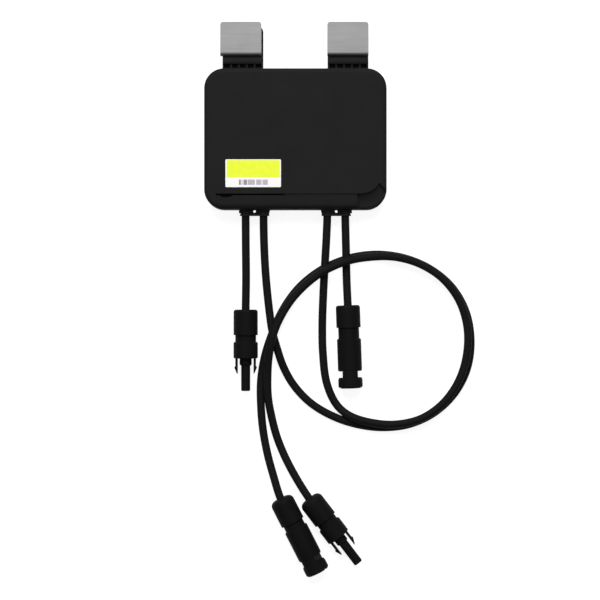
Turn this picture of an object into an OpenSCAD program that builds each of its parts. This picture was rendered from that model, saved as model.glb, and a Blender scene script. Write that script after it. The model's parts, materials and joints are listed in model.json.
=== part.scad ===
// Add-on power optimizer for one solar module: a flat sealed housing that hangs on the module's
// frame by two spring clips, with two short input leads and two long output leads.
// Millimetres. +Z points out of the front face and +Y towards the clips. The origin is the middle
// of the housing's flat back face, on which it lies.

/* [Housing] */
// Width of the housing
body_w = 138.4; // [130:0.2:160]
// Height of the housing without its clips
body_h = 106.8; // [102:0.2:130]
// Thickness of the housing, back to front
body_t = 22.9; // [22.5:0.1:30]
// Corner radius of the housing's outline
corner_r = 15; // [12:0.5:18]
// Rounding of the front edge
edge_r = 3.6; // [2:0.1:4]
// Rounding of the back edge
back_edge_r = 1.2; // [0.6:0.1:2]
// Thickness of the side walls
wall_t = 2.5; // [2.2:0.1:3]
// Thickness of the back wall
back_t = 2.5; // [2:0.1:2.8]
// Thickness of the front face
face_t = 2.5; // [2:0.1:3]
// Height of the parting line above the back face
split_z = 16; // [15.8:0.1:16.5]
// Depth of the rim's inner ledge, which carries the seal
ledge_h = 1.4; // [1.2:0.1:1.6]
// Thickness of the housing seal
seal_t = 0.7; // [0.5:0.1:0.9]
// Clearance between moulded pieces that fit into each other
mould_gap = 0.15; // [0.1:0.05:0.25]

/* [Front band] */
// Height of the band along the lower edge
band_h = 11.7; // [11:0.1:13]
// Left end of the cable cover, from the middle
bar_left = 60; // [56:0.5:62]
// Right end of the cable cover, from the middle
bar_right = 47; // [44:0.5:50]
// Thickness of the cable cover
bar_t = 3.2; // [2.8:0.1:3.4]
// Rounding of the cable cover's front edge
bar_edge_r = 4.2; // [2.5:0.1:4.6]
// Width of the shadow groove above the cable cover and at its right end
bar_gap = 1.3; // [0.8:0.1:1.4]
// Length of the groove's deep part, from the cable cover's left end
deep_l = 52; // [30:1:60]
// Depth of the rest of the groove
groove_depth = 0.6; // [0.4:0.1:1]
// Thickness of the floor under the cable cover
bar_floor_t = 2; // [1.6:0.1:2.2]
// Radius of the cable cover's snap pegs
peg_r = 1.5; // [1.2:0.1:1.8]
// Depth of the scoop in the lower right corner
scoop_depth = 4.2; // [3.6:0.1:4.2]
// Distance of the scoop's lowest line from its upper edge
scoop_l = 10; // [9:0.1:10.4]
// Depth of the steep wall at the scoop's upper edge
scoop_step = 1.6; // [1:0.1:2]
// Width of that wall
scoop_step_w = 0.8; // [0.4:0.1:1.2]
// Radius of the scoop's turn up the right side
scoop_turn_r = 16; // [12:0.5:18]
// Distance between that turn and the right edge
scoop_rim = 3.7; // [3:0.1:5]
// Height of the scoop's upper end above the lower edge
scoop_top = 20; // [18:0.5:21]
// How much lower the scoop ends at the right edge
scoop_end_drop = 7.6; // [5:0.1:8]
// Rounding of the scoop's outer edge
scoop_edge_r = 2.4; // [1.5:0.1:2.5]
// Length of the pry notch in the cable cover's upper edge
pry_l = 10.6; // [8:0.2:11]
// Height of the pry notch
pry_h = 1.7; // [1.4:0.1:2]
// Depth of the recess in the floor behind the pry notch
pry_recess = 1.2; // [0.8:0.1:1.2]
// Distance of the pry notch's middle from the cable cover's left end
pry_from_left = 7.6; // [6.5:0.1:9]

/* [Clips] */
// Distance of each clip lug from the middle
lug_x = 40.2; // [36:0.2:44]
// Width of a clip lug and of the rear jaw above it
lug_w = 31; // [28:0.2:32]
// Height of a lug above the housing
lug_h = 10.7; // [10.5:0.1:11.2]
// Depth of a lug's block, from its own back
lug_t = 6.2; // [6:0.1:6.6]
// Depth of the ribs between the pockets, from the lug's back
rib_t = 7.8; // [7.2:0.1:8.2]
// Radius of the roll along a lug's front
roll_r = 3.3; // [3:0.1:3.4]
// Height of the roll's middle above the housing
roll_h = 6.6; // [6.4:0.1:6.8]
// Height of the lugs' back above the housing's back face
lug_back_z = 0.8; // [0.4:0.1:1.2]
// Thickness of the rear jaw
jaw_t = 3; // [2.6:0.1:3.2]
// Height of the rear jaw above the housing
jaw_h = 34; // [30:0.5:36]
// Corner radius of the rear jaw
jaw_r = 4; // [2:0.5:6]
// Number of pockets in a lug
pocket_count = 5; // [3:1:6]
// Distance between pockets
pocket_pitch = 6; // [5:0.1:6]
// Width of a pocket
pocket_w = 4.6; // [3:0.1:4.8]
// Height of a pocket
pocket_h = 3.9; // [3:0.1:4]
// Depth of a pocket
pocket_depth = 3.4; // [2.5:0.1:3.6]
// Wall under a pocket
pocket_base = 0.7; // [0.5:0.1:1]
// Width of a clip
clip_w = 31.4; // [28:0.2:32]
// Thickness of the clip's steel strip
clip_t = 1; // [0.8:0.1:1.2]
// Height of a clip's top above the housing
clip_top = 36.8; // [34:0.2:40]
// Room between the clip's tongue and the rear jaw
clip_room = 5; // [4.8:0.1:6]
// Bend radius at the clip's tongue
tongue_bend_r = 1.6; // [0.8:0.1:1.6]
// Bend radius at the clip's anchor leg
anchor_bend_r = 1; // [0.8:0.1:1.2]
// Corner radius of the clip's tongue
tongue_r = 2.2; // [1:0.1:4]
// Width of the clip's anchor leg
anchor_w = 20; // [16:0.5:22]
// Depth of the anchor leg in its slot
anchor_depth = 5; // [4.5:0.1:5.2]
// How far the anchor leg lies in front of the rear jaw
anchor_in = 0.6; // [0.4:0.1:0.7]
// Side play of the anchor leg in its slot
anchor_play = 2; // [1.8:0.1:2.6]
// Room under the anchor leg in its slot
anchor_end_gap = 0.5; // [0.3:0.1:0.6]
// Where the left clip sits in its side play
left_clip_shift = -1.5; // [-1.8:0.1:1.8]
// Where the right clip sits in its side play
right_clip_shift = -0.1; // [-1.8:0.1:1.8]

/* [Cable exits] */
// Distance of each gland from the middle
gland_x = 31.2; // [29:0.1:33]
// Distance between the two leads of a gland
lead_pitch = 13.7; // [12.5:0.1:14]
// Height of the leads above the back face
lead_z = 9.3; // [9.2:0.1:9.4]
// Outside diameter of a lead
lead_d = 6.1; // [5.4:0.1:6.2]
// Radial clearance round a lead
lead_gap = 0.1; // [0.05:0.05:0.2]
// Radius of a gland's boots at the wall
boot_r = 5.1; // [4.8:0.1:5.3]
// Radius of the boots at their outer end
boot_end_r = 3.9; // [3.6:0.1:4.2]
// How far the boots stand out of the wall
boot_l = 4.6; // [4:0.1:6]
// Thickness of each rib on the outer boots
boot_rib_t = 1.3; // [1:0.1:1.5]
// Height of the web between the boots
web_h = 6; // [5:0.1:7]
// Thickness of the lip along the web's outer end
lip_t = 1; // [0.8:0.1:1.2]
// Width of a gland's inner flange
flange_w = 23.7; // [22.5:0.1:25]
// Height of a gland's inner flange
flange_h = 11; // [10:0.1:11]
// Width and height by which the gland's neck is smaller than its flange
neck_less = 2.4; // [2:0.1:2.8]
// Thickness of the gland's inner flange
flange_t = 2.5; // [2:0.1:3]
// Radius of the tie hole between the leads
tie_r = 1.1; // [0.8:0.1:1.4]
// Rubber left between the tie hole and the wall
tie_wall = 0.2; // [0.2:0.1:0.6]

/* [Connectors] */
// Outside diameter of a plug's collar and of a socket's head
con_d = 18.6; // [18:0.1:18.6]
// Outside diameter of a nut
nut_d = 18.5; // [18:0.1:18.6]
// Length of a plug's nut
plug_nut_l = 19.4; // [19:0.1:21]
// Length of a socket's nut
socket_nut_l = 17; // [16.8:0.1:18]
// Length of the nuts on the output leads, which are screwed in less far
output_nut_l = 20.4; // [20:0.1:20.8]
// Rounding of an input nut's rear edge
nut_edge_r = 1.8; // [1.2:0.1:2.4]
// Rounding of an output nut's rear edge
output_nut_edge_r = 4.4; // [3:0.1:4.6]
// Thickness of a nut's rear wall
nut_wall = 3; // [2.5:0.1:3.2]
// Outside diameter of the spigot inside a nut
spigot_d = 14; // [13.4:0.1:14.4]
// Length of that spigot
spigot_l = 13; // [12:0.1:13.4]
// Outside diameter of a lead seal
lead_seal_d = 11; // [10:0.1:11.4]
// Wall between a lead seal's seat and the neck
seat_wall = 3; // [2.6:0.1:3.4]
// Diameter of the neck between nut and collar
neck_d = 15.9; // [15.2:0.1:16.4]
// Length of a plug from its nut's rear face to its collar
plug_rear_l = 24.7; // [24.2:0.1:25.4]
// Length of a plug's collar
plug_collar_l = 12.6; // [12:0.1:13.4]
// Outside diameter of the O-ring and of the stage at the probe's base
stage_d = 9.2; // [8.6:0.1:9.4]
// Thickness of the O-ring
oring_t = 2.4; // [2:0.1:2.6]
// Length of that stage with the O-ring
stage_l = 5.7; // [5.2:0.1:6.2]
// Diameter of a plug's probe
probe_d = 6.95; // [6.8:0.05:7]
// Length of a plug's probe from its collar
probe_l = 24.8; // [24:0.1:26]
// Length of the bevel at the probe's tip
probe_bevel = 0.8; // [0.5:0.1:1]
// How far the plug's contact lies behind the probe's tip
contact_back = 1.2; // [0.8:0.1:2]
// Depth of the bore in the plug's contact
contact_bore_l = 16; // [14:0.5:18]
// Thickness of a latch finger
finger_t = 1.7; // [1.4:0.1:1.9]
// Width of a latch finger
finger_w = 7; // [6:0.1:7.6]
// Length of a latch finger
finger_l = 11.5; // [11:0.1:12]
// Distance of a latch finger's inside from the axis
finger_in = 6.1; // [6:0.1:6.3]
// How far a finger's barb stands out
barb_out = 0.8; // [0.5:0.1:0.9]
// Length of a socket from its nut's rear face to its barrel
socket_rear_l = 25.4; // [25:0.1:26]
// Length of a socket's barrel
barrel_l = 24.8; // [24:0.1:26]
// Length of a socket's latch windows
window_l = 5.2; // [4.6:0.1:5.6]
// Width left between the latch windows
waist_w = 11.4; // [11.2:0.1:11.8]
// Length of a socket's head
head_l = 7.9; // [7.4:0.1:8.4]
// Radius by which a socket's barrel is smaller than its head
barrel_less = 0.1; // [0.1:0.1:0.4]
// Radius by which a socket is smaller between its latch windows than its head
window_less = 0.4; // [0.3:0.1:0.8]
// Room in front of a mated plug's probe and stage
mate_room = 1.3; // [1:0.1:1.6]
// Radial clearance of probe and stage in a socket
mate_gap = 0.2; // [0.15:0.05:0.3]
// Outside diameter of a plug's contact
contact_d = 5.2; // [5:0.05:5.3]
// Diameter of a socket's contact pin
pin_d = 3.4; // [3:0.1:3.6]
// Radial clearance of a contact in its bore
contact_gap = 0.1; // [0.05:0.05:0.15]
// Length of the bevel at a contact pin's tip
pin_bevel = 1; // [0.6:0.1:1.4]
// How deep a contact pin's tip lies behind the socket's mouth
pin_tip_depth = 12; // [10:0.5:14]

/* [Label] */
// Width of the label
label_w = 42; // [30:0.5:50]
// Height of the label
label_h = 21; // [15:0.5:25]
// Thickness of the label
label_t = 0.2; // [0.1:0.05:0.3]
// Corner radius of the label
label_r = 0.8; // [0.4:0.1:2]
// Distance of the label's middle from the housing's left edge
label_from_left = 37.3; // [30:0.1:45]
// Distance of the label's middle from the housing's lower edge
label_from_bottom = 27; // [24:0.1:40]

/* [Electronics] */
// Thickness of the circuit board
board_t = 1.6; // [1.2:0.1:1.6]
// Gap between the circuit board's edge and the side walls
board_gap = 3; // [2:0.5:5]
// Distance of the posts from the board's edges
post_inset = 5; // [4.5:0.5:7]
// Radius of a post under the board
post_r = 3.2; // [2.8:0.1:3.6]
// Radius of a board screw's shank
screw_r = 1.25; // [1:0.05:1.5]
// Radius of a board screw's head
screw_head_r = 2.5; // [2.2:0.1:2.8]
// Height of a board screw's head
screw_head_h = 1.6; // [1.2:0.1:2]
// Distance of the circuit board's lower edge from the glands
lead_room = 6; // [5:0.5:8]
// How far a lead terminal stands out over that edge
terminal_out = 2; // [1:0.5:3]
// Length of a lead terminal
terminal_l = 8; // [6:0.5:10]
// Radius of a lead terminal's barrel
terminal_r = 2.2; // [2:0.1:2.2]
// Thickness of the heat spreader
spreader_t = 1.5; // [1:0.1:1.5]
// Width of the heat spreader
spreader_w = 70; // [66:1:80]
// Height of the heat spreader
spreader_h = 45; // [40:1:50]
// Edge of the heat spreader left free by the thermal pad at each side
pad_inset = 3; // [2:0.5:4]
// Height of the thermal pad
pad_h = 14; // [12:0.5:16]
// Thickness of the thermal pad
pad_t = 0.6; // [0.4:0.1:0.8]
// Distance of the row of power switches above the board's middle
switch_up = 10.5; // [8:0.5:12]
// Number of power switches
mosfet_count = 4; // [2:1:4]
// Side of a power switch
mosfet_w = 10; // [8:0.5:10]
// Distance between power switches
mosfet_pitch = 15; // [12:0.5:16]
// Distance of the inductor from the board's left and upper edges
core_inset = 8.5; // [8:0.5:10]
// Outside radius of the inductor's core
core_r = 16; // [13:0.5:18]
// Radius of the hole in the inductor's core
core_hole_r = 8; // [6:0.5:9]
// Height of the inductor's core
core_h = 8; // [6:0.5:8.5]
// Thickness of the winding on the core
winding_t = 1.2; // [0.8:0.1:1.4]
// Number of turns on the core
winding_turns = 18; // [12:1:24]
// Number of film capacitors
cap_count = 3; // [1:1:3]
// Width of a film capacitor
cap_w = 12; // [10:0.5:13]
// Depth of a film capacitor, along the board's height
cap_d = 14; // [10:0.5:15]
// Height of a film capacitor
cap_h = 10.5; // [8:0.5:10.5]
// Distance between film capacitors
cap_pitch = 16; // [14:0.5:16]
// Distance of the film capacitors from the board's right edge
cap_from_right = 15.7; // [12:0.1:18]
// Distance of the film capacitors from the board's upper edge
cap_from_top = 8; // [6:0.5:10]
// Width of the bypass diode
diode_w = 10; // [8:0.5:12]
// Length of the bypass diode's body
diode_l = 9; // [8:0.5:10]
// Height of the bypass diode's body
diode_h = 4.4; // [3.5:0.1:5]
// Length of the bypass diode's tab
tab_l = 6.5; // [5:0.5:8]
// Thickness of the bypass diode's tab
tab_t = 1.3; // [1:0.1:1.5]
// Side of the control chip
chip_w = 10; // [6:0.5:12]
// Height of the control chip
chip_h = 1.2; // [0.8:0.1:1.6]
// Width of the radio module
radio_w = 18; // [14:0.5:20]
// Length of the radio module
radio_l = 24; // [20:0.5:26]
// Thickness of the radio module's board
radio_t = 0.8; // [0.6:0.1:1.2]
// Height of the radio module's shield can
shield_h = 3; // [2:0.1:4]
// Distance of the radio module's middle below the board's middle
radio_down = 4.8; // [2:0.1:6]
// Distance of the radio module from the board's right edge
radio_inset = 9.7; // [8:0.1:12]
// Edge of the radio module's board left free by its shield can
shield_inset = 1.5; // [1:0.1:2]

/* [Hidden] */
$fn = 48;
eps = 0.01;
screw_gap = mould_gap / 3;
screw_end_gap = 0.8;

top_y = body_h / 2;
bottom_y = -body_h / 2;
band_y = bottom_y + band_h;
pocket_z = body_t - bar_t;
bar_h = band_h - bar_gap;
ledge_z = split_z - ledge_h;
seal_w = wall_t / 2 - mould_gap;

jaw_z = lug_back_z + jaw_t;
tongue_z = jaw_z + clip_room;
anchor_z = jaw_z + anchor_in;
clip_base = lug_h + mould_gap;
roll_z = tongue_z + clip_t - roll_r;

neck_w = flange_w - neck_less;
neck_h = flange_h - neck_less;
exit_y = bottom_y - boot_l;
flange_y = bottom_y + wall_t + flange_t;
board_top = lead_z - terminal_r;
board_z = board_top - board_t;
board_w = body_w - 2 * (wall_t + board_gap);
board_bottom_y = flange_y + lead_room;
board_top_y = top_y - wall_t - board_gap;
board_mid_y = (board_bottom_y + board_top_y) / 2;
switch_y = board_mid_y + switch_up;
core_at = [core_inset + core_r + winding_t - board_w / 2, board_top_y - core_r - winding_t - core_inset];
terminal_y = board_bottom_y - terminal_out;
lead_outer_x = gland_x + lead_pitch / 2;
lead_inner_x = gland_x - lead_pitch / 2;
lead_r = lead_d / 2;
con_z = con_d / 2;
plug_l = plug_rear_l + plug_collar_l;
socket_l = socket_rear_l + barrel_l + window_l + head_l;

// Each connector's place: the middle of its nut's rear face, its turn about Z and, for the output
// socket, its roll about its own axis
input_left_at = [-38, -129.6, con_z];
input_left_turn = 0;
input_right_at = [40, -126.3, con_z];
input_right_turn = 2;
output_left_at = [-11.4, -273.8, con_z];
output_left_turn = 27;
output_left_roll = 20;
output_right_at = [10.4, -273.8, con_z];
output_right_turn = 37.5;

// Routes of the leads between gland and connector, laid out on the surface under the housing
input_left_route = [[-37.9, -82, 9.3], [-37.7, -106, 9.3]];
input_right_route = [[38.6, -82, 9.3], [39.1, -106, 9.3]];
output_left_route = [
    [-24, -78, 9.2], [-22.7, -103, 9], [-20, -130, 9.2], [-17.5, -147, 9.4], [-14, -159.5, 8],
    [-9, -174, 4.6], [-1, -188, 3.1], [12, -201.5, 3.1], [30, -212, 3.1], [49, -218, 3.1],
    [68, -220, 3.1], [87.5, -217.5, 3.1], [106, -209, 3.1], [121.5, -194.5, 3.1],
    [131.5, -175.5, 3.1], [134.5, -154, 3.1], [131, -132, 3.1], [120.5, -113, 3.1],
    [105, -99.5, 3.1], [86.5, -91, 3.1], [67.5, -87.5, 3.1], [49, -88.5, 3.1], [31.5, -93.5, 3.1],
    [16, -101.5, 3.1], [1.5, -114, 3.1], [-9.5, -129.5, 3.1], [-17.5, -147, 3.1],
    [-23.5, -165.5, 3.1], [-26.5, -184.5, 3.1], [-26.5, -203, 3.1], [-25, -221, 3.1],
    [-21.5, -240, 3.9], [-16.5, -258, 6.8]];
output_right_route = [
    [23.5, -78, 9.3], [22.2, -100, 9.4], [21.3, -118, 7.6], [20.6, -141, 3.9], [21, -162, 3.1],
    [24, -186, 3.1], [31.5, -202.5, 3.1], [41.5, -210.8, 7.2], [58, -216, 8.6],
    [77, -217.3, 9.1], [96.5, -212.7, 9.3], [113, -201, 9.3], [125, -183.7, 9.1],
    [131, -163.5, 9], [131.2, -142.3, 9.2], [124.8, -122, 9.3], [112, -105.5, 9.4],
    [95, -94.7, 9.6], [76, -89.5, 11.4], [57.5, -89.5, 14], [40, -92.5, 15.6], [22.5, -99.8, 15.7],
    [9.5, -109, 14.8], [-3, -122, 14.5], [-12, -136.5, 15.1], [-17, -149, 15.6],
    [-20.3, -165.5, 12.4], [-21.3, -181, 8.6], [-21, -196, 5.9], [-18.8, -209.5, 3.6],
    [-14.3, -227, 3.1], [-8, -242.5, 4], [0, -257.5, 6.9]];

// Flat outline with round corners, centred
module round_rect(w, h, r) {
    square([w - 2 * r, h], center = true);
    square([w, h - 2 * r], center = true);
    for (x = [-1, 1], y = [-1, 1])
        translate([x * (w / 2 - r), y * (h / 2 - r)]) circle(r);
}

// Cross-section of a slab's border: a rectangle with its upper outer corner rounded
module border_section(depth, t, r) {
    square([depth, t - r]);
    square([depth - r, t]);
    translate([depth - r, t - r]) circle(r);
}

// Slab with round corners and a rounded upper edge, standing on z = 0
module soft_slab(w, h, t, corner, edge) {
    translate([0, 0, t / 2]) cube([w - 2 * corner, h - 2 * corner, t], center = true);
    for (side = [-1, 1]) {
        rotate([0, 0, 90 - 90 * side]) translate([0, h / 2 - corner, 0]) rotate([90, 0, 90])
            linear_extrude(w - 2 * corner, center = true) border_section(corner, t, edge);
        rotate([0, 0, 90 * side]) translate([0, w / 2 - corner, 0]) rotate([90, 0, 90])
            linear_extrude(h - 2 * corner, center = true) border_section(corner, t, edge);
    }
    for (quarter = [0:3]) {
        x = (quarter == 0 || quarter == 3) ? 1 : -1;
        y = quarter < 2 ? 1 : -1;
        translate([x * (w / 2 - corner), y * (h / 2 - corner), 0]) rotate([0, 0, 90 * quarter])
            rotate_extrude(angle = 90) border_section(corner, t, edge);
    }
}

// Upright prism on the housing's outline, inset on all sides
module outline_prism(inset, z0, z1) {
    translate([0, 0, z0]) linear_extrude(z1 - z0)
        round_rect(body_w - 2 * inset, body_h - 2 * inset, corner_r - inset);
}

// Flat-section ring that follows the housing's outline
module outline_ring(outer_inset, inner_inset, z0, z1) {
    difference() {
        outline_prism(outer_inset, z0, z1);
        outline_prism(inner_inset, z0 - eps, z1 + eps);
    }
}

// Places children, drawn along +Z from their rear end, as a connector lying on the surface
module lay_connector(at, turn, roll = 0) {
    translate(at) rotate([90, 0, turn]) rotate([0, 0, roll]) children();
}

// Middle of each board post
function post_places() = [
    for (x = [-1, 1], y = [board_bottom_y + post_inset, board_top_y - post_inset])
        [x * (board_w / 2 - post_inset), y]];

// Clip lug with a roll along its front, pockets under the roll, anchor slot and rear jaw, standing
// on the housing's top edge at y = 0
module clip_lug() {
    slot_t = clip_t + 2 * mould_gap;
    slot_z = anchor_z - mould_gap;
    chamfer = 1.5 * anchor_bend_r;
    difference() {
        union() {
            translate([-lug_w / 2, -wall_t, lug_back_z]) cube([lug_w, lug_h + wall_t, lug_t]);
            translate([-lug_w / 2, -wall_t, lug_back_z]) cube([lug_w, roll_h + wall_t, rib_t]);
            translate([0, roll_h, roll_z]) rotate([0, 90, 0]) barrel(-lug_w / 2, lug_w / 2, roll_r);
            translate([0, jaw_h / 2, lug_back_z]) linear_extrude(jaw_t) {
                translate([0, -jaw_r / 2]) square([lug_w, jaw_h - jaw_r], center = true);
                translate([0, jaw_h / 2 - jaw_r]) square([lug_w - 2 * jaw_r, 2 * jaw_r], center = true);
                for (x = [-1, 1])
                    translate([x * (lug_w / 2 - jaw_r), jaw_h / 2 - jaw_r]) circle(jaw_r);
            }
        }
        translate([-anchor_w / 2 - anchor_play, clip_base - anchor_depth - anchor_end_gap, slot_z])
            cube([anchor_w + 2 * anchor_play, anchor_depth + anchor_end_gap + 1, slot_t]);
        translate([0, lug_h, slot_z + slot_t]) rotate([45, 0, 0])
            cube([anchor_w + 2 * anchor_play, chamfer, chamfer], center = true);
        for (k = [0:pocket_count - 1])
            translate([(k - (pocket_count - 1) / 2) * pocket_pitch - pocket_w / 2, pocket_base,
                       lug_back_z + rib_t - pocket_depth])
                cube([pocket_w, pocket_h, pocket_depth + 1]);
    }
}

// Tray with the back wall, side walls, board posts, cable windows and clip lugs
module rear_shell() {
    color("#262626") {
        difference() {
            union() {
                translate([0, 0, split_z]) mirror([0, 0, 1])
                    soft_slab(body_w, body_h, split_z, corner_r, back_edge_r);
                for (x = [-lug_x, lug_x]) translate([x, top_y, 0]) clip_lug();
            }
            outline_prism(wall_t, back_t, split_z + 1);
            outline_prism(wall_t / 2, ledge_z, split_z + 1);
            for (x = [-gland_x, gland_x])
                translate([x, bottom_y + wall_t + 1, lead_z]) rotate([90, 0, 0])
                    linear_extrude(wall_t + 2) gland_section(neck_w, neck_h);
        }
        for (p = post_places()) translate([p[0], p[1], back_t - 1]) difference() {
            cylinder(h = board_z - back_t + 1, r = post_r);
            translate([0, 0, 1 - screw_end_gap]) cylinder(h = board_z, r = screw_r + screw_gap);
        }
    }
}

// Section of the scoop: X runs across it from its upper edge, Y up from the front face
module scoop_section() {
    arc_w = scoop_l - scoop_step_w;
    arc_h = scoop_depth - scoop_step;
    arc_r = (arc_w * arc_w + arc_h * arc_h) / (2 * arc_h);
    polygon([[0, 1], [0, 0], [scoop_step_w, -scoop_step], [body_w, -scoop_step], [body_w, 1]]);
    translate([scoop_l, -scoop_depth]) square([body_w - scoop_l, scoop_depth]);
    intersection() {
        translate([scoop_l, arc_r - scoop_depth]) circle(arc_r);
        translate([scoop_step_w, -scoop_depth]) square([arc_w + eps, scoop_depth]);
    }
}

// Cut for the scoop in the lower right corner, which turns up the right side, and for its outer edge
module scoop() {
    from_x = bar_right + bar_gap - eps;
    end_y = bottom_y + scoop_top;
    turn_x = body_w / 2 - scoop_rim - scoop_turn_r;
    turn_y = band_y + scoop_turn_r;
    rise = turn_y - end_y;
    end_x = turn_x + sqrt(scoop_turn_r * scoop_turn_r - rise * rise);
    edge_x = body_w / 2 + 1;
    floor_t = body_t - scoop_depth - split_z;
    fillet_r = min(scoop_edge_r, floor_t - eps);
    intersection() {
        translate([0, 0, split_z + eps]) linear_extrude(body_t)
            polygon([[from_x, bottom_y - 1], [edge_x, bottom_y - 1], [edge_x, end_y - scoop_end_drop],
                     [end_x, end_y], [from_x, end_y]]);
        union() {
            translate([turn_x - body_w / 2, band_y, body_t]) mirror([0, 1, 0]) rotate([90, 0, 90])
                linear_extrude(body_w / 2 + eps) scoop_section();
            translate([turn_x, turn_y, body_t]) rotate([0, 0, -90]) rotate_extrude(angle = 90)
                translate([scoop_turn_r, 0]) scoop_section();
            difference() {
                intersection() {
                    outline_ring(-2, fillet_r, split_z, body_t + 1);
                    translate([0, bottom_y - 2, split_z])
                        cube([body_w, band_h - fillet_r + 2, body_t]);
                }
                translate([0, 0, split_z]) soft_slab(body_w, body_h, floor_t, corner_r, fillet_r);
            }
        }
    }
}

// Cut for the cable cover's seat, with a raised floor in the shallow part of its groove
module bar_seat() {
    seat_w = bar_left + mould_gap + bar_right + bar_gap;
    shallow_x = deep_l - bar_left;
    difference() {
        translate([-bar_left - mould_gap, bottom_y - 1, pocket_z]) cube([seat_w, band_h + 1, body_t]);
        translate([shallow_x, band_y - bar_gap + mould_gap, pocket_z - 1])
            cube([bar_right - shallow_x, bar_gap, bar_t - groove_depth + 1]);
    }
    translate([pry_from_left - bar_left - pry_l / 2, band_y - bar_gap - pry_h, pocket_z - pry_recess])
        cube([pry_l, bar_gap + pry_h, bar_t]);
}

// Lid with the front face, the seat of the cable cover, the scoop and the lip
module front_cover() {
    solid_z = pocket_z - bar_floor_t;
    corner_z = body_t - scoop_depth - bar_floor_t;
    color("#242424") difference() {
        union() {
            translate([0, 0, split_z])
                soft_slab(body_w, body_h, body_t - split_z, corner_r, edge_r);
            outline_ring(wall_t / 2 + mould_gap, wall_t, ledge_z + seal_t, split_z + eps);
        }
        difference() {
            outline_prism(wall_t, split_z - 1, body_t - face_t);
            translate([-body_w / 2, bottom_y - 1, solid_z]) cube([body_w, band_h + wall_t + 1, body_t]);
            translate([bar_right, bottom_y - 1, corner_z])
                cube([body_w / 2, scoop_top + wall_t + 1, body_t]);
        }
        scoop();
        bar_seat();
        for (x = peg_places()) translate([x, bottom_y + band_h / 2, solid_z - 1])
            cylinder(h = bar_floor_t + 2, r = peg_r + mould_gap);
    }
}

// Places of the cable cover's snap pegs along X
function peg_places() = [for (k = [-1, 0, 1]) (bar_right - bar_left) / 2 + k * bar_right];

// Bar over the cable exits, flush with the face, with a pry notch and snap pegs
module cable_cover() {
    sink = 2;
    pry_r = (pry_l * pry_l / 4 + pry_h * pry_h) / (2 * pry_h);
    color("#222222") {
        difference() {
            intersection() {
                translate([0, 0, pocket_z - sink])
                    soft_slab(body_w, body_h, bar_t + sink, corner_r, bar_edge_r);
                translate([-bar_left, bottom_y - 1, pocket_z])
                    cube([bar_left + bar_right, bar_h + 1, bar_t + 1]);
            }
            translate([pry_from_left - bar_left, bottom_y + bar_h - pry_h + pry_r, pocket_z - 1])
                cylinder(h = bar_t + 2, r = pry_r);
        }
        for (x = peg_places()) translate([x, bottom_y + band_h / 2, pocket_z - bar_floor_t])
            cylinder(h = bar_floor_t + 1, r = peg_r);
    }
}

// Soft ring on the shell's ledge, pressed by the cover's lip
module housing_seal() {
    color("#3a3a3a") outline_ring(wall_t / 2 + mould_gap, wall_t, ledge_z, ledge_z + seal_t);
}

// Quarter of a bent strip's section, from the -X side round to the -Y side of its centre
module strip_bend(r) {
    intersection() {
        difference() {
            circle(r + clip_t);
            circle(r);
        }
        translate([-r - clip_t, -r - clip_t]) square(r + clip_t);
    }
}

// Bent steel strip: anchor leg in the lug's slot, step over the lug, and the tongue
// The section is drawn with X along the part's Z and Y along the part's Y
module clip(shift) {
    step_y = clip_base;
    leg_bend = [anchor_z + clip_t + anchor_bend_r, step_y - anchor_bend_r];
    tongue_bend = [tongue_z - tongue_bend_r, step_y + clip_t + tongue_bend_r];
    color("#a8a8a8") translate([shift, top_y, 0]) {
        translate([anchor_w / 2, 0, 0]) rotate([0, -90, 0]) linear_extrude(anchor_w) {
            translate([anchor_z, clip_base - anchor_depth])
                square([clip_t, anchor_depth - anchor_bend_r]);
            translate(leg_bend) mirror([0, 1]) strip_bend(anchor_bend_r);
        }
        intersection() {
            translate([clip_w / 2, 0, 0]) rotate([0, -90, 0]) linear_extrude(clip_w) {
                translate([leg_bend[0], step_y]) square([tongue_bend[0] - leg_bend[0], clip_t]);
                translate(tongue_bend) mirror([1, 0]) strip_bend(tongue_bend_r);
                translate([tongue_z, tongue_bend[1]]) square([clip_t, clip_top - tongue_bend[1]]);
            }
            linear_extrude(tongue_z + clip_t + 1) translate([0, clip_top / 2])
                round_rect(clip_w, clip_top, tongue_r);
        }
    }
}

module left_clip() {
    translate([-lug_x, 0, 0]) clip(left_clip_shift);
}

module right_clip() {
    translate([lug_x, 0, 0]) clip(right_clip_shift);
}

// Section of a gland, wide and flat with round corners
module gland_section(w, h) {
    round_rect(w, h, h * 0.4);
}

// Boot round a lead, along +Z from the wall: a smooth cone, or two ribs on a straight one
module boot(ribbed) {
    cylinder(h = boot_l, r1 = ribbed ? boot_end_r : boot_r, r2 = boot_end_r);
    if (ribbed) for (z = [0, boot_l - lip_t - 2 * boot_rib_t]) translate([0, 0, z + boot_rib_t / 4])
        cylinder(h = boot_rib_t, r = boot_r);
}

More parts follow.
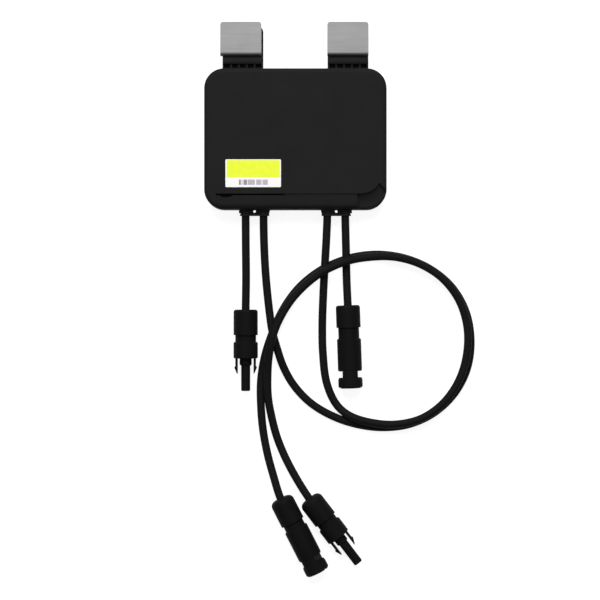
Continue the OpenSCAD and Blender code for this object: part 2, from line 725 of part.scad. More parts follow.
// Double rubber grommet: boots and web outside the wall, neck in its window, flange inside
// The boot on the given side, away from the housing's middle, is the ribbed one
module gland(outer_side) {
    color("#1c1c1c") difference() {
        translate([0, 0, lead_z]) rotate([90, 0, 0]) {
            translate([0, 0, -bottom_y]) {
                for (side = [-1, 1]) translate([side * lead_pitch / 2, 0, 0]) boot(side == outer_side);
                translate([-lead_pitch / 2, -web_h / 2, 0]) cube([lead_pitch, web_h, boot_l]);
                translate([0, 0, boot_l - lip_t]) linear_extrude(lip_t)
                    gland_section(lead_pitch + 2 * boot_end_r + lip_t, 2 * boot_end_r);
            }
            translate([0, 0, -flange_y]) linear_extrude(flange_t + wall_t + eps)
                gland_section(neck_w - mould_gap, neck_h - mould_gap);
            translate([0, 0, -flange_y]) linear_extrude(flange_t) gland_section(flange_w, flange_h);
        }
        for (x = [-1, 1]) translate([x * lead_pitch / 2, exit_y - 1, lead_z]) rotate([-90, 0, 0])
            cylinder(h = flange_y - exit_y + 2, r = lead_r + lead_gap);
        translate([0, bottom_y - tie_r - tie_wall, lead_z - web_h]) cylinder(h = 2 * web_h, r = tie_r);
    }
}

module left_gland() {
    translate([-gland_x, 0, 0]) gland(-1);
}

module right_gland() {
    translate([gland_x, 0, 0]) gland(1);
}

// Plain sticker on the front face
module label() {
    color("#effd2d")
        translate([label_from_left - body_w / 2, bottom_y + label_from_bottom, body_t])
            linear_extrude(label_t) round_rect(label_w, label_h, label_r);
}

// Board with screw holes, on the shell's posts
module circuit_board() {
    color("#1f5a35") difference() {
        translate([0, board_mid_y, board_z]) linear_extrude(board_t)
            round_rect(board_w, board_top_y - board_bottom_y, post_inset);
        for (p = post_places()) translate([p[0], p[1], board_z - 1])
            cylinder(h = board_t + 2, r = screw_r + mould_gap);
    }
}

// Pan-head screws that hold the board on its posts
module board_screws() {
    color("#b0b0b0") for (p = post_places()) translate([p[0], p[1], 0]) {
        translate([0, 0, back_t]) cylinder(h = board_top - back_t + screw_head_h / 2, r = screw_r);
        translate([0, 0, board_top]) cylinder(h = screw_head_h, r = screw_head_r);
    }
}

// Aluminium plate on the back wall under the power switches
module heat_spreader() {
    color("#c8c8c8") translate([0, switch_y, back_t + spreader_t / 2])
        cube([spreader_w, spreader_h, spreader_t], center = true);
}

// Soft pad between heat spreader and power switches
module thermal_pad() {
    color("#7f8fa0") translate([0, switch_y, back_t + spreader_t + pad_t / 2])
        cube([spreader_w - 2 * pad_inset, pad_h, pad_t], center = true);
}

// Row of power switches under the board
module power_mosfets() {
    z0 = back_t + spreader_t + pad_t;
    color("#303030") for (k = [0:mosfet_count - 1])
        translate([(k - (mosfet_count - 1) / 2) * mosfet_pitch, switch_y, (z0 + board_z) / 2])
            cube([mosfet_w, mosfet_w, board_z - z0], center = true);
}

// Toroid of the power stage
module inductor_core() {
    color("#4b4b4b") translate([core_at[0], core_at[1], board_top + winding_t]) difference() {
        cylinder(h = core_h, r = core_r);
        translate([0, 0, -1]) cylinder(h = core_h + 2, r = core_hole_r);
    }
}

// Turns of enamelled wire round the toroid, side by side, with a notch between neighbours
module inductor_winding() {
    notch = winding_t / 3;
    color("#b5651d") translate([core_at[0], core_at[1], board_top]) difference() {
        cylinder(h = core_h + 2 * winding_t, r = core_r + winding_t);
        translate([0, 0, -1]) cylinder(h = core_h + 4 * winding_t, r = core_hole_r - winding_t);
        translate([0, 0, winding_t]) difference() {
            cylinder(h = core_h + mould_gap, r = core_r + mould_gap);
            translate([0, 0, -1]) cylinder(h = core_h + 3, r = core_hole_r - mould_gap);
        }
        for (k = [0:winding_turns - 1]) rotate([0, 0, 360 / winding_turns * k])
            translate([core_r + winding_t - notch, -notch, -1])
                cube([2 * winding_t, 2 * notch, core_h + 4 * winding_t]);
    }
}

// Box-shaped film capacitors on the board
module film_capacitors() {
    right_x = board_w / 2 - cap_from_right;
    color("#8c2f22") for (k = [0:cap_count - 1])
        translate([right_x - cap_w - k * cap_pitch, board_top_y - cap_from_top - cap_d, board_top])
            cube([cap_w, cap_d, cap_h]);
}

// Bypass diode with its tab, in front of the lead terminals
module bypass_diode() {
    color("#2b2b2b") translate([-diode_w / 2, board_bottom_y + 2 * terminal_l, board_top]) {
        cube([diode_w, diode_l, diode_h]);
        translate([0, diode_l, 0]) cube([diode_w, tab_l, tab_t]);
    }
}

// Control chip beside the bypass diode
module control_chip() {
    color("#202020") translate([diode_w + chip_w / 2, board_mid_y - chip_w, board_top])
        cube([chip_w, chip_w, chip_h]);
}

// Radio module with its shield can
module radio_module() {
    side = radio_w - 2 * shield_inset;
    radio_y = board_mid_y - radio_down - radio_l / 2;
    color("#bdbdbd")
        translate([board_w / 2 - radio_inset - radio_w, radio_y, board_top]) {
            cube([radio_w, radio_l, radio_t]);
            translate([shield_inset, shield_inset, 0]) cube([side, side, shield_h]);
        }
}

// Crimped barrels that carry the leads' conductors, each on a foot on the board
module lead_terminals() {
    color("#c9a24a") for (side = [-1, 1], x = [lead_inner_x, lead_outer_x])
        translate([side * x, terminal_y, lead_z]) {
            rotate([-90, 0, 0]) cylinder(h = terminal_l, r = terminal_r);
            translate([-terminal_r, board_bottom_y - terminal_y, -terminal_r])
                cube([2 * terminal_r, terminal_l - board_bottom_y + terminal_y, terminal_r]);
        }
}

// Direction of a route at one of its points
function heading(p, i) =
    let (d = p[min(i + 1, len(p) - 1)] - p[max(i - 1, 0)]) d / norm(d);

// Ring of points round a route's point
function tube_ring(p, i, r, sides) =
    let (t = heading(p, i), across = cross([0, 0, 1], t), s = across / norm(across), u = cross(t, s))
    [for (k = [0:sides - 1]) p[i] + r * (cos(360 * k / sides) * s + sin(360 * k / sides) * u)];

// Tube swept along a route
module tube(p, r, sides = 10) {
    n = len(p);
    points = [for (i = [0:n - 1]) each tube_ring(p, i, r, sides)];
    walls = [for (i = [0:n - 2], k = [0:sides - 1]) let (a = i * sides, j = (k + 1) % sides)
        each [[a + k, a + sides + j, a + j], [a + k, a + sides + k, a + sides + j]]];
    ends = [[for (k = [0:sides - 1]) k], [for (k = [sides - 1:-1:0]) (n - 1) * sides + k]];
    polyhedron(points, concat(walls, ends));
}

// Point at a distance along a connector's axis
function along(at, turn, s) = at + s * [sin(turn), -cos(turn), 0];

// Lead from its terminal through the gland, along its route and into its connector's nut
module lead(x, route, at, turn, nut_l) {
    ends_in = nut_l - seat_wall;
    color("#1d1d1d") tube(concat(
        [[x, terminal_y, lead_z], [x, exit_y, lead_z]], route,
        [at, along(at, turn, ends_in)]), lead_r);
}

module input_left_lead() {
    lead(-lead_outer_x, input_left_route, input_left_at, input_left_turn, plug_nut_l);
}

module input_right_lead() {
    lead(lead_outer_x, input_right_route, input_right_at, input_right_turn, socket_nut_l);
}

module output_left_lead() {
    lead(-lead_inner_x, output_left_route, output_left_at, output_left_turn, output_nut_l);
}

module output_right_lead() {
    lead(lead_inner_x, output_right_route, output_right_at, output_right_turn, output_nut_l);
}

// Cap nut with a rounded rear edge
module nut(l, edge) {
    r = nut_d / 2;
    color("#191919") difference() {
        rotate_extrude() {
            translate([0, edge]) square([r, l - edge]);
            square([r - edge, edge + eps]);
            translate([r - edge, edge]) circle(edge);
        }
        translate([0, 0, -1]) cylinder(h = l + 2, r = lead_r + 2 * lead_gap);
        translate([0, 0, nut_wall]) cylinder(h = l, r = spigot_d / 2 + mould_gap);
    }
}

// Rubber ring between nut and spigot, round the lead
module lead_seal(nut_l) {
    color("#4a4a4a") translate([0, 0, nut_wall]) difference() {
        cylinder(h = nut_l - seat_wall - nut_wall, r = lead_seal_d / 2 - mould_gap / 2);
        translate([0, 0, -1]) cylinder(h = nut_l, r = lead_r + lead_gap);
    }
}

// Outer barrel with chamfered ends, from z0 to z1
module barrel(z0, z1, r, chamfer = 0.8) {
    translate([0, 0, z0]) cylinder(h = chamfer, r1 = r - chamfer, r2 = r);
    translate([0, 0, z0 + chamfer]) cylinder(h = z1 - z0 - 2 * chamfer, r = r);
    translate([0, 0, z1 - chamfer]) cylinder(h = chamfer, r1 = r, r2 = r - chamfer);
}

// Spigot, neck and seal seat that plug and socket have in common
module rear_half(nut_l, neck_l) {
    difference() {
        union() {
            translate([0, 0, nut_l - spigot_l]) cylinder(h = spigot_l + 1, r = spigot_d / 2);
            translate([0, 0, nut_l]) cylinder(h = neck_l + 1, r = neck_d / 2);
        }
        translate([0, 0, nut_l - spigot_l - 1])
            cylinder(h = spigot_l - seat_wall + 1, r = lead_seal_d / 2);
        translate([0, 0, nut_l - seat_wall - 1])
            cylinder(h = neck_l + seat_wall + 3, r = contact_d / 2 + contact_gap);
    }
}

// Spring finger with a barbed tip, rising along +Z from the collar's face on the +X side
module latch_finger() {
    tip = finger_in + finger_t;
    root = 1;
    translate([0, finger_w / 2, 0]) rotate([90, 0, 0]) linear_extrude(finger_w)
        polygon([[finger_in, -root], [tip, -root], [tip, finger_l * 0.5], [tip + barb_out, finger_l * 0.6],
                 [finger_in + 0.5, finger_l], [finger_in, finger_l]]);
}

// Insulating body with collar, latch fingers, O-ring seat, stage and hollow probe
module plug_body(nut_l) {
    stage_taper = (stage_d - probe_d) / 2;
    color("#1b1b1b") {
        rear_half(nut_l, plug_rear_l - nut_l);
        difference() {
            union() {
                barrel(plug_rear_l, plug_l, con_d / 2);
                translate([0, 0, plug_l - 1]) cylinder(h = probe_l + 1 - probe_bevel, r = probe_d / 2);
                translate([0, 0, plug_l + probe_l - probe_bevel])
                    cylinder(h = probe_bevel, r1 = probe_d / 2, r2 = (probe_d - probe_bevel) / 2);
                translate([0, 0, plug_l + oring_t])
                    cylinder(h = stage_l - oring_t - stage_taper, r = stage_d / 2);
                translate([0, 0, plug_l + stage_l - stage_taper])
                    cylinder(h = stage_taper, r1 = stage_d / 2, r2 = probe_d / 2);
                for (side = [0, 180]) rotate([0, 0, side]) translate([0, 0, plug_l]) latch_finger();
            }
            translate([0, 0, nut_l]) cylinder(h = plug_l + probe_l, r = contact_d / 2 + contact_gap);
        }
    }
}

// Hollow contact in the plug's probe, from the lead's end to just behind the probe's tip
module plug_contact(nut_l) {
    start = nut_l - seat_wall;
    l = plug_l + probe_l - contact_back - start;
    color("#c0b080") translate([0, 0, start]) difference() {
        cylinder(h = l, r = contact_d / 2);
        translate([0, 0, l - contact_bore_l])
            cylinder(h = contact_bore_l + 1, r = pin_d / 2 + contact_gap);
    }
}

// O-ring at the foot of the probe
module plug_oring() {
    color("#141414") translate([0, 0, plug_l]) difference() {
        cylinder(h = oring_t, r = stage_d / 2);
        translate([0, 0, -1]) cylinder(h = oring_t + 2, r = probe_d / 2);
    }
}

// Insulating body with neck, barrel, latch windows and head, open at the mating end
module socket_body(nut_l) {
    window_z = socket_rear_l + barrel_l;
    stage_depth = stage_l + mate_room;
    probe_depth = probe_l + mate_room;
    slot_in = finger_in - mate_gap;
    color("#1b1b1b") difference() {
        union() {
            rear_half(nut_l, socket_rear_l - nut_l);
            difference() {
                union() {
                    barrel(socket_rear_l, window_z, con_d / 2 - barrel_less);
                    translate([0, 0, window_z - 1]) cylinder(h = window_l + 2, r = con_d / 2 - window_less);
                    barrel(window_z + window_l, socket_l, con_d / 2, 1.2);
                }
                translate([0, 0, socket_rear_l - 1])
                    cylinder(h = barrel_l, r = contact_d / 2 + contact_gap);
            }
        }
        translate([0, 0, socket_l - stage_depth]) cylinder(h = stage_depth + 1, r = stage_d / 2 + mate_gap);
        translate([0, 0, socket_l - probe_depth]) cylinder(h = probe_depth, r = probe_d / 2 + mate_gap);
        for (side = [0, 180]) rotate([0, 0, side]) {
            translate([waist_w / 2, -con_d, window_z]) cube([con_d, 2 * con_d, window_l]);
            translate([slot_in, -finger_w / 2 - mate_gap, window_z - 1])
                cube([finger_t + 2 * mate_gap, finger_w + 2 * mate_gap, window_l + head_l + 2]);
        }
    }
}

// Contact with its pin standing in the socket
module socket_contact(nut_l) {
    start = nut_l - seat_wall;
    floor_z = socket_l - probe_l - mate_room;
    color("#c0b080") {
        translate([0, 0, start]) cylinder(h = floor_z - start, r = contact_d / 2);
        translate([0, 0, floor_z - 1])
            cylinder(h = socket_l - pin_tip_depth - pin_bevel - floor_z + 1, r = pin_d / 2);
        translate([0, 0, socket_l - pin_tip_depth - pin_bevel])
            cylinder(h = pin_bevel, r1 = pin_d / 2, r2 = pin_d / 2 - pin_bevel / 2);
    }
}

rear_shell();
front_cover();
cable_cover();
housing_seal();
left_clip();
right_clip();
left_gland();
right_gland();
label();
circuit_board();
board_screws();
heat_spreader();
thermal_pad();
power_mosfets();
inductor_core();
inductor_winding();
film_capacitors();
bypass_diode();
control_chip();
radio_module();
lead_terminals();
input_left_lead();
input_right_lead();
output_left_lead();
output_right_lead();
lay_connector(input_left_at, input_left_turn) plug_body(plug_nut_l);  // input_left_plug_body
lay_connector(input_left_at, input_left_turn) nut(plug_nut_l, nut_edge_r);  // input_left_plug_nut
lay_connector(input_left_at, input_left_turn) lead_seal(plug_nut_l);  // input_left_plug_seal
lay_connector(input_left_at, input_left_turn) plug_contact(plug_nut_l);  // input_left_plug_contact
lay_connector(input_left_at, input_left_turn) plug_oring();  // input_left_plug_oring
lay_connector(input_right_at, input_right_turn) socket_body(socket_nut_l);  // input_right_socket_body
lay_connector(input_right_at, input_right_turn) nut(socket_nut_l, nut_edge_r);  // input_right_socket_nut
lay_connector(input_right_at, input_right_turn) lead_seal(socket_nut_l);  // input_right_socket_seal
lay_connector(input_right_at, input_right_turn) socket_contact(socket_nut_l);  // input_right_socket_contact
lay_connector(output_left_at, output_left_turn, output_left_roll) socket_body(output_nut_l);  // output_left_socket_body
lay_connector(output_left_at, output_left_turn) nut(output_nut_l, output_nut_edge_r);  // output_left_socket_nut
lay_connector(output_left_at, output_left_turn) lead_seal(output_nut_l);  // output_left_socket_seal
lay_connector(output_left_at, output_left_turn) socket_contact(output_nut_l);  // output_left_socket_contact
lay_connector(output_right_at, output_right_turn) plug_body(output_nut_l);  // output_right_plug_body
lay_connector(output_right_at, output_right_turn) nut(output_nut_l, output_nut_edge_r);  // output_right_plug_nut
lay_connector(output_right_at, output_right_turn) lead_seal(output_nut_l);  // output_right_plug_seal
lay_connector(output_right_at, output_right_turn) plug_contact(output_nut_l);  // output_right_plug_contact
lay_connector(output_right_at, output_right_turn) plug_oring();  // output_right_plug_oring
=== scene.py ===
"""Looks of the power optimizer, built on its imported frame. Metres, in the part's own frame."""
import json
import math

import bmesh
import bpy
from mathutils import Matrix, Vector


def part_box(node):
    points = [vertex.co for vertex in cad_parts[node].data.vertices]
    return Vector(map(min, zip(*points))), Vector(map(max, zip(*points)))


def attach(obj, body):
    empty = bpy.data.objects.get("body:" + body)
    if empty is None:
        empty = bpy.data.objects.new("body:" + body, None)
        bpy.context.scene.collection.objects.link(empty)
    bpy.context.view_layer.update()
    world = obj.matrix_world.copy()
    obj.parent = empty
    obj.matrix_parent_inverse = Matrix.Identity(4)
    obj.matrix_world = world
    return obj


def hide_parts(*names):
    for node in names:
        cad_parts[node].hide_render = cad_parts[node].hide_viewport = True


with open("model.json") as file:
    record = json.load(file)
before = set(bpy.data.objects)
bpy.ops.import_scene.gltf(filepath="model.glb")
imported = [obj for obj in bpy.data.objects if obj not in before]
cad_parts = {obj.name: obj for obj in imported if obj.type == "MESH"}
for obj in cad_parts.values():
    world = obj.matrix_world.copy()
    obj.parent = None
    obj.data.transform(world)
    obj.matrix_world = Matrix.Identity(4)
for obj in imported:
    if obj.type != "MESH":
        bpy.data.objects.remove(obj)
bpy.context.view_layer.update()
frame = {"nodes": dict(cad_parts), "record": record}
nodes = frame["nodes"]
scene = bpy.context.scene
MM = 0.001

# Camera straight above, as the photo looks at it
CAMERA_AT = (3.5 * MM, -122.28 * MM, 1.4)
camera_data = bpy.data.cameras.new("camera")
camera_data.sensor_width = 36.0
camera_data.lens = 109.23
camera_data.clip_end = 20.0
camera = bpy.data.objects.new("camera", camera_data)
camera.location = CAMERA_AT
scene.collection.objects.link(camera)
scene.camera = camera

# Leads: the routes of the part's source, in millimetres
LEAD_D = 6.1
CON_Z = 9.3
EXIT_Y = -58.0
INNER_Y = -44.4
ROUTES = {
    "input_left": [(-37.9, -82, 9.3), (-37.7, -106, 9.3)],
    "input_right": [(38.6, -82, 9.3), (39.1, -106, 9.3)],
    "output_left": [
        (-24, -78, 9.2), (-22.7, -103, 9), (-20, -130, 9.2), (-17.5, -147, 9.4), (-14, -159.5, 8),
        (-9, -174, 4.6), (-1, -188, 3.1), (12, -201.5, 3.1), (30, -212, 3.1), (49, -218, 3.1),
        (68, -220, 3.1), (87.5, -217.5, 3.1), (106, -209, 3.1), (121.5, -194.5, 3.1),
        (131.5, -175.5, 3.1), (134.5, -154, 3.1), (131, -132, 3.1), (120.5, -113, 3.1),
        (105, -99.5, 3.1), (86.5, -91, 3.1), (67.5, -87.5, 3.1), (49, -88.5, 3.1), (31.5, -93.5, 3.1),
        (16, -101.5, 3.1), (1.5, -114, 3.1), (-9.5, -129.5, 3.1), (-17.5, -147, 3.1),
        (-23.5, -165.5, 3.1), (-26.5, -184.5, 3.1), (-26.5, -203, 3.1), (-25, -221, 3.1),
        (-21.5, -240, 3.9), (-16.5, -258, 6.8)],
    "output_right": [
        (23.5, -78, 9.3), (22.2, -100, 9.4), (21.3, -118, 7.6), (20.6, -141, 3.9), (21, -162, 3.1),
        (24, -186, 3.1), (31.5, -202.5, 3.1), (41.5, -210.8, 7.2), (58, -216, 8.6),
        (77, -217.3, 9.1), (96.5, -212.7, 9.3), (113, -201, 9.3), (125, -183.7, 9.1),
        (131, -163.5, 9), (131.2, -142.3, 9.2), (124.8, -122, 9.3), (112, -105.5, 9.4),
        (95, -94.7, 9.6), (76, -89.5, 11.4), (57.5, -89.5, 14), (40, -92.5, 15.6), (22.5, -99.8, 15.7),
        (9.5, -109, 14.8), (-3, -122, 14.5), (-12, -136.5, 15.1), (-17, -149, 15.6),
        (-20.3, -165.5, 12.4), (-21.3, -181, 8.6), (-21, -196, 5.9), (-18.8, -209.5, 3.6),
        (-14.3, -227, 3.1), (-8, -242.5, 4), (0, -257.5, 6.9)],
}
# Lead name: place across the housing, connector's nut, its turn in degrees, depth in the nut, connector
ENDS = {
    "input_left": (-38.05, (-38, -129.6), 0, 16.4, "plug"),
    "input_right": (38.05, (40, -126.3), 2, 14, "socket"),
    "output_left": (-24.35, (-11.4, -273.8), 27, 17.4, "socket"),
    "output_right": (24.35, (10.4, -273.8), 37.5, 17.4, "plug"),
}


def smooth_line(points, step):
    """Points along a centripetal Catmull-Rom curve through the given ones, about step apart."""
    pts = [Vector(p) for p in points]
    pts = [pts[0] * 2 - pts[1]] + pts + [pts[-1] * 2 - pts[-2]]
    out = []
    for a, b, c, d in zip(pts, pts[1:], pts[2:], pts[3:]):
        t1 = (b - a).length ** 0.5
        t2 = t1 + (c - b).length ** 0.5
        t3 = t2 + (d - c).length ** 0.5
        count = max(1, round((c - b).length / step))
        for k in range(count):
            t = t1 + (t2 - t1) * k / count
            ab = a.lerp(b, t / t1)
            bc = b.lerp(c, (t - t1) / (t2 - t1))
            cd = c.lerp(d, (t - t2) / (t3 - t2))
            abc = ab.lerp(bc, t / t2)
            bcd = bc.lerp(cd, (t - t1) / (t3 - t1))
            out.append(abc.lerp(bcd, (t - t1) / (t2 - t1)))
    out.append(pts[-2])
    return out


def link(obj):
    scene.collection.objects.link(obj)
    return obj


leads = []
for name, (x, nut, turn, depth, kind) in ENDS.items():
    tail = Vector((math.sin(math.radians(turn)), -math.cos(math.radians(turn)), 0))
    start = [(x, INNER_Y, CON_Z), (x, EXIT_Y, CON_Z)]
    nut_at = Vector((nut[0], nut[1], CON_Z))
    route = start + ROUTES[name] + [tuple(nut_at), tuple(nut_at + tail * depth)]
    line = [Vector((p.x, p.y, max(p.z, LEAD_D / 2))) * MM for p in smooth_line(route, 3.0)]
    # A curve's box grows by the radius of its points, so that carries the jacket's size
    data = bpy.data.curves.new(name + "_lead_jacket", "CURVE")
    data.dimensions = "3D"
    data.bevel_depth = 1.0
    data.bevel_resolution = 6
    data.use_fill_caps = True
    data.twist_mode = "Z_UP"
    spline = data.splines.new("POLY")
    spline.points.add(len(line) - 1)
    for point, co in zip(spline.points, line):
        point.co = (*co, 1.0)
        point.radius = LEAD_D / 2 * MM
    lead = link(bpy.data.objects.new(name + "_lead_jacket", data))
    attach(lead, "root")
    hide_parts(name + "_lead")
    leads.append(lead)


class Shader:
    """A material under construction, with short calls for its nodes."""

    def __init__(self, name):
        self.material = bpy.data.materials.new(name)
        self.material.use_nodes = True
        self.tree = self.material.node_tree
        self.bsdf = self.tree.nodes["Principled BSDF"]
        self.coords = self.tree.nodes.new("ShaderNodeTexCoord").outputs["Object"]

    def set(self, **values):
        for key, value in values.items():
            self.bsdf.inputs[key.replace("_", " ")].default_value = value
        return self

    def add(self, kind, **sockets):
        node = self.tree.nodes.new(kind)
        for key, value in sockets.items():
            socket = node.inputs[key.replace("_", " ")]
            if isinstance(value, bpy.types.NodeSocket):
                self.tree.links.new(value, socket)
            else:
                socket.default_value = value
        return node

    def link(self, out, socket):
        self.tree.links.new(out, self.bsdf.inputs[socket])

    def noise(self, scale, detail=3.0, roughness=0.55, vector=None):
        return self.add("ShaderNodeTexNoise", Vector=vector or self.coords, Scale=scale, Detail=detail,
                        Roughness=roughness).outputs["Fac"]

    def ramp(self, fac, stops):
        node = self.add("ShaderNodeValToRGB", Fac=fac)
        elements = node.color_ramp.elements
        while len(elements) < len(stops):
            elements.new(0.5)
        for element, (at, colour) in zip(elements, stops):
            element.position = at
            value = colour if isinstance(colour, tuple) else (colour, colour, colour)
            element.color = (*value, 1.0)
        return node.outputs["Color"]

    def range(self, fac, low, high, out_low, out_high):
        node = self.add("ShaderNodeMapRange", Value=fac, From_Min=low, From_Max=high, To_Min=out_low,
                        To_Max=out_high)
        return node.outputs["Result"]

    def bump(self, height, distance, strength=1.0, normal=None):
        node = self.add("ShaderNodeBump", Height=height, Distance=distance, Strength=strength)
        if normal is not None:
            self.tree.links.new(normal, node.inputs["Normal"])
        return node.outputs["Normal"]


def moulded(name, dark, light, rough, grain, depth, specular=0.3):
    """Black moulded plastic or rubber: spark-eroded grain, faint cloudiness and uneven gloss."""
    s = Shader(name)
    cloud = s.noise(45.0, 4.0)
    fine = s.noise(grain, 2.0, 0.6)
    s.link(s.ramp(cloud, [(0.3, dark), (0.7, light)]), "Base Color")
    s.link(s.range(fine, 0.3, 0.7, rough - 0.05, rough + 0.07), "Roughness")
    s.link(s.bump(fine, depth), "Normal")
    s.set(Specular_IOR_Level=specular)
    return s.material


def steel(name):
    """Dull rolled spring steel with fine rolling lines along X."""
    s = Shader(name)
    stretch = s.add("ShaderNodeMapping", Vector=s.coords, Scale=(30.0, 1600.0, 1600.0)).outputs["Vector"]
    lines = s.noise(1.0, 3.0, 0.6, stretch)
    cloud = s.noise(60.0, 3.0)
    s.link(s.ramp(cloud, [(0.3, 0.232), (0.7, 0.25)]), "Base Color")
    s.link(s.range(lines, 0.3, 0.7, 0.44, 0.56), "Roughness")
    s.link(s.bump(lines, 0.00001, 0.5), "Normal")
    s.set(Metallic=1.0)
    return s.material


def plain_metal(name, low, high, rough):
    s = Shader(name)
    cloud = s.noise(400.0, 3.0)
    s.link(s.ramp(cloud, [(0.3, low), (0.7, high)]), "Base Color")
    s.link(s.range(cloud, 0.3, 0.7, rough - 0.06, rough + 0.06), "Roughness")
    s.set(Metallic=1.0)
    return s.material


def tinted(name, low, high, rough, scale=300.0):
    s = Shader(name)
    cloud = s.noise(scale, 3.0)
    s.link(s.ramp(cloud, [(0.3, low), (0.7, high)]), "Base Color")
    s.link(s.range(cloud, 0.3, 0.7, rough - 0.05, rough + 0.05), "Roughness")
    return s.material


looks = {
    "shell_plastic": moulded("shell_plastic", 0.0137, 0.0158, 0.62, 1500.0, 0.00003, 0.03),
    "cover_plastic": moulded("cover_plastic", 0.0145, 0.0167, 0.62, 1500.0, 0.00003, 0.03),
    "bar_plastic": moulded("bar_plastic", 0.0132, 0.0153, 0.6, 1500.0, 0.00003, 0.03),
    # The gland rubber is lighter than the other black parts: painted light that lifts the shade the
    # housing casts on the glands when seen from above
    "gland_rubber": moulded("gland_rubber", 0.025, 0.029, 0.68, 900.0, 0.00004, 0.05),
    "lead_jacket": moulded("lead_jacket", 0.0079, 0.0095, 0.6, 700.0, 0.00003, 0.05),
    "connector_plastic": moulded("connector_plastic", 0.0057, 0.0072, 0.6, 1200.0, 0.00003, 0.05),
    "soft_seal": moulded("soft_seal", 0.03, 0.05, 0.7, 900.0, 0.00003),
    "oring_black": moulded("oring_black", 0.004, 0.006, 0.6, 900.0, 0.00002, 0.12),
    "clip_steel": steel("clip_steel"),
    "board_green": tinted("board_green", (0.012, 0.07, 0.03), (0.02, 0.1, 0.04), 0.3),
    "plated_steel": plain_metal("plated_steel", 0.45, 0.55, 0.35),
    "spreader_aluminium": plain_metal("spreader_aluminium", 0.55, 0.65, 0.4),
    "pad_rubber": tinted("pad_rubber", (0.17, 0.23, 0.3), (0.22, 0.29, 0.37), 0.8),
    "chip_black": tinted("chip_black", (0.015, 0.015, 0.015), (0.025, 0.025, 0.025), 0.5),
    "core_grey": tinted("core_grey", (0.06, 0.06, 0.06), (0.08, 0.08, 0.08), 0.6),
    "copper_wire": plain_metal("copper_wire", (0.4, 0.12, 0.02), (0.5, 0.16, 0.03), 0.3),
    "capacitor_red": tinted("capacitor_red", (0.22, 0.025, 0.015), (0.28, 0.035, 0.02), 0.35),
    "shield_can": plain_metal("shield_can", 0.45, 0.55, 0.35),
    "contact_metal": plain_metal("contact_metal", (0.45, 0.38, 0.22), (0.55, 0.48, 0.28), 0.3),
    "label_film": tinted("label_film", (0.95, 0.95, 0.94), (0.98, 0.98, 0.97), 0.5),
}
label_yellow = tinted("label_yellow", (0.83, 0.95, 0.012), (0.89, 0.99, 0.022), 0.5)
INKS = {
    "dark": tinted("label_ink_dark", (0.27, 0.25, 0.28), (0.33, 0.30, 0.34), 0.5, 900.0),
    "mid": tinted("label_ink_mid", (0.47, 0.42, 0.49), (0.53, 0.48, 0.55), 0.5, 900.0),
    "pale": tinted("label_ink_pale", (0.68, 0.65, 0.70), (0.75, 0.72, 0.77), 0.5, 900.0),
}

for entry in frame["record"]["subparts"]:
    obj = nodes[entry["node"]]
    obj.data.materials.clear()
    obj.data.materials.append(looks[entry["material_slot"]])
for lead in leads:
    lead.data.materials.append(looks["lead_jacket"])


def flat_piece(name, outline, z0, z1, material):
    """A thin closed plate from an outline in millimetres."""
    bm = bmesh.new()
    low = [bm.verts.new((x * MM, y * MM, z0)) for x, y in outline]
    bottom = bm.faces.new(low)
    extruded = bmesh.ops.extrude_face_region(bm, geom=[bottom])
    for v in extruded["geom"]:
        if isinstance(v, bmesh.types.BMVert):
            v.co.z = z1
    bmesh.ops.recalc_face_normals(bm, faces=bm.faces)
    mesh = bpy.data.meshes.new(name)
    bm.to_mesh(mesh)
    bm.free()
    mesh.materials.append(material)
    obj = link(bpy.data.objects.new(name, mesh))
    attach(obj, "root")
    return obj


def rounded(x0, y0, x1, y1, radii, steps=5):
    """Outline of a rectangle, anticlockwise from its lower left corner, with a radius for each corner."""
    corners = [(x0, y0, 1, 1, 180), (x1, y0, -1, 1, 270), (x1, y1, -1, -1, 0), (x0, y1, 1, -1, 90)]
    out = []
    for (x, y, sx, sy, first), r in zip(corners, radii):
        if r == 0:
            out.append((x, y))
            continue
        for k in range(steps + 1):
            a = math.radians(first + 90 * k / steps)
            out.append((x + sx * r + r * math.cos(a), y + sy * r + r * math.sin(a)))
    return out


# Label: white film, a yellow field inside its border and a plain row of bars that encodes nothing
low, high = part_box("label")
lx0, ly0, lx1, ly1 = (v / MM for v in (low.x, low.y, high.x, high.y))
PRINT_T = 0.00002
film = flat_piece("label_film_white", rounded(lx0, ly0, lx1, ly1, (0.8,) * 4), low.z, high.z,
                  looks["label_film"])
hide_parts("label")
flat_piece("label_field_yellow", rounded(lx0 + 0.9, ly0 + 7.4, lx1 - 0.8, ly1 - 0.5, (0.4,) * 4),
           high.z, high.z + PRINT_T, label_yellow)
# Each bar's place from the row's left end, its width and its ink
BARS = [(0.0, 1.4, "dark"), (1.5, 2.0, "pale"), (3.6, 2.6, "dark"), (6.7, 5.4, "mid"), (13.1, 3.6, "mid"),
        (16.8, 1.3, "pale"), (18.2, 3.6, "mid")]
for k, (at, width, ink) in enumerate(BARS):
    x = lx0 + 10.2 + at
    flat_piece(f"label_bar_{k}", rounded(x, ly0 + 1.7, x + width, ly0 + 5.7, (0.1,) * 4, 2), high.z,
               high.z + PRINT_T, INKS[ink])

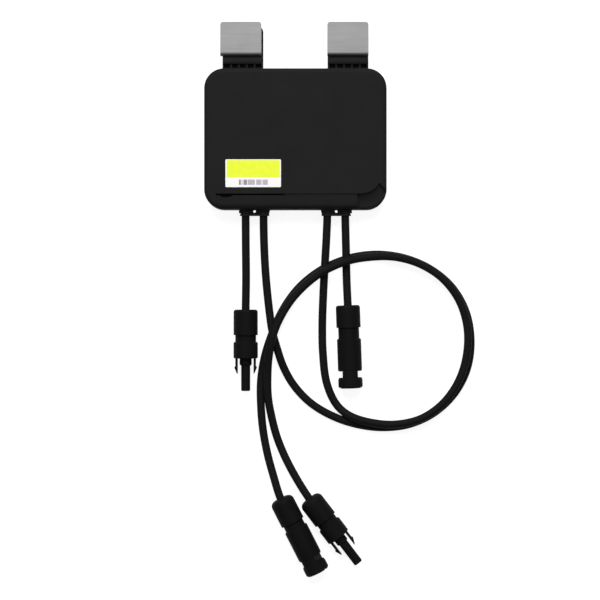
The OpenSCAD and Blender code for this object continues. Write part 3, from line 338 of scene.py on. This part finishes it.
# Floor: white to the camera, plain pale to light
floor_data = bpy.data.meshes.new("floor")
floor_data.from_pydata([(-3, -3, -0.0002), (3, -3, -0.0002), (3, 3, -0.0002), (-3, 3, -0.0002)], [],
                       [(0, 1, 2, 3)])
floor = link(bpy.data.objects.new("floor", floor_data))
floor_look = bpy.data.materials.new("floor")
floor_look.use_nodes = True
tree = floor_look.node_tree
tree.nodes.clear()
path = tree.nodes.new("ShaderNodeLightPath")
seen = tree.nodes.new("ShaderNodeMath")
seen.operation = "MAXIMUM"
tree.links.new(path.outputs["Is Camera Ray"], seen.inputs[0])
also = tree.nodes.new("ShaderNodeMath")
also.operation = "MAXIMUM"
tree.links.new(path.outputs["Is Glossy Ray"], also.inputs[0])
tree.links.new(path.outputs["Is Transmission Ray"], also.inputs[1])
tree.links.new(also.outputs[0], seen.inputs[1])
glow = tree.nodes.new("ShaderNodeEmission")
glow.inputs["Color"].default_value = (1, 1, 1, 1)
glow.inputs["Strength"].default_value = 0.88
shade = tree.nodes.new("ShaderNodeBsdfDiffuse")
shade.inputs["Color"].default_value = (0.3, 0.3, 0.3, 1)
both = tree.nodes.new("ShaderNodeAddShader")
tree.links.new(glow.outputs[0], both.inputs[0])
tree.links.new(shade.outputs[0], both.inputs[1])
pale = tree.nodes.new("ShaderNodeBsdfDiffuse")
pale.inputs["Color"].default_value = (0.12, 0.12, 0.12, 1)
mix = tree.nodes.new("ShaderNodeMixShader")
tree.links.new(seen.outputs[0], mix.inputs[0])
tree.links.new(pale.outputs[0], mix.inputs[1])
tree.links.new(both.outputs[0], mix.inputs[2])
out = tree.nodes.new("ShaderNodeOutputMaterial")
tree.links.new(mix.outputs[0], out.inputs["Surface"])
floor_data.materials.append(floor_look)

# Light: a soft room, bright overhead and dim towards the horizon, and a large lamp from the clips' side
world = bpy.data.worlds.new("room")
scene.world = world
world.use_nodes = True
room = world.node_tree
sky = room.nodes.new("ShaderNodeTexCoord")
height = room.nodes.new("ShaderNodeSeparateXYZ")
room.links.new(sky.outputs["Generated"], height.inputs[0])
grade = room.nodes.new("ShaderNodeMapRange")
grade.inputs["To Min"].default_value = 0.02
grade.inputs["To Max"].default_value = 0.45
room.links.new(height.outputs["Z"], grade.inputs["Value"])
room.links.new(grade.outputs["Result"], room.nodes["Background"].inputs["Strength"])
room.nodes["Background"].inputs["Color"].default_value = (1, 1, 1, 1)


def lamp(name, at, aim, size, watts):
    data = bpy.data.lights.new(name, "AREA")
    data.shape = "DISK"
    data.size = size
    data.energy = watts
    obj = link(bpy.data.objects.new(name, data))
    obj.location = at
    obj.rotation_euler = (Vector(aim) - Vector(at)).to_track_quat("-Z", "Y").to_euler()


lamp("key", (-0.1, 1.2, 1.6), (0.0, -0.1, 0.0), 1.6, 40.0)

scene.view_settings.view_transform = "Standard"

bpy.context.view_layer.update()
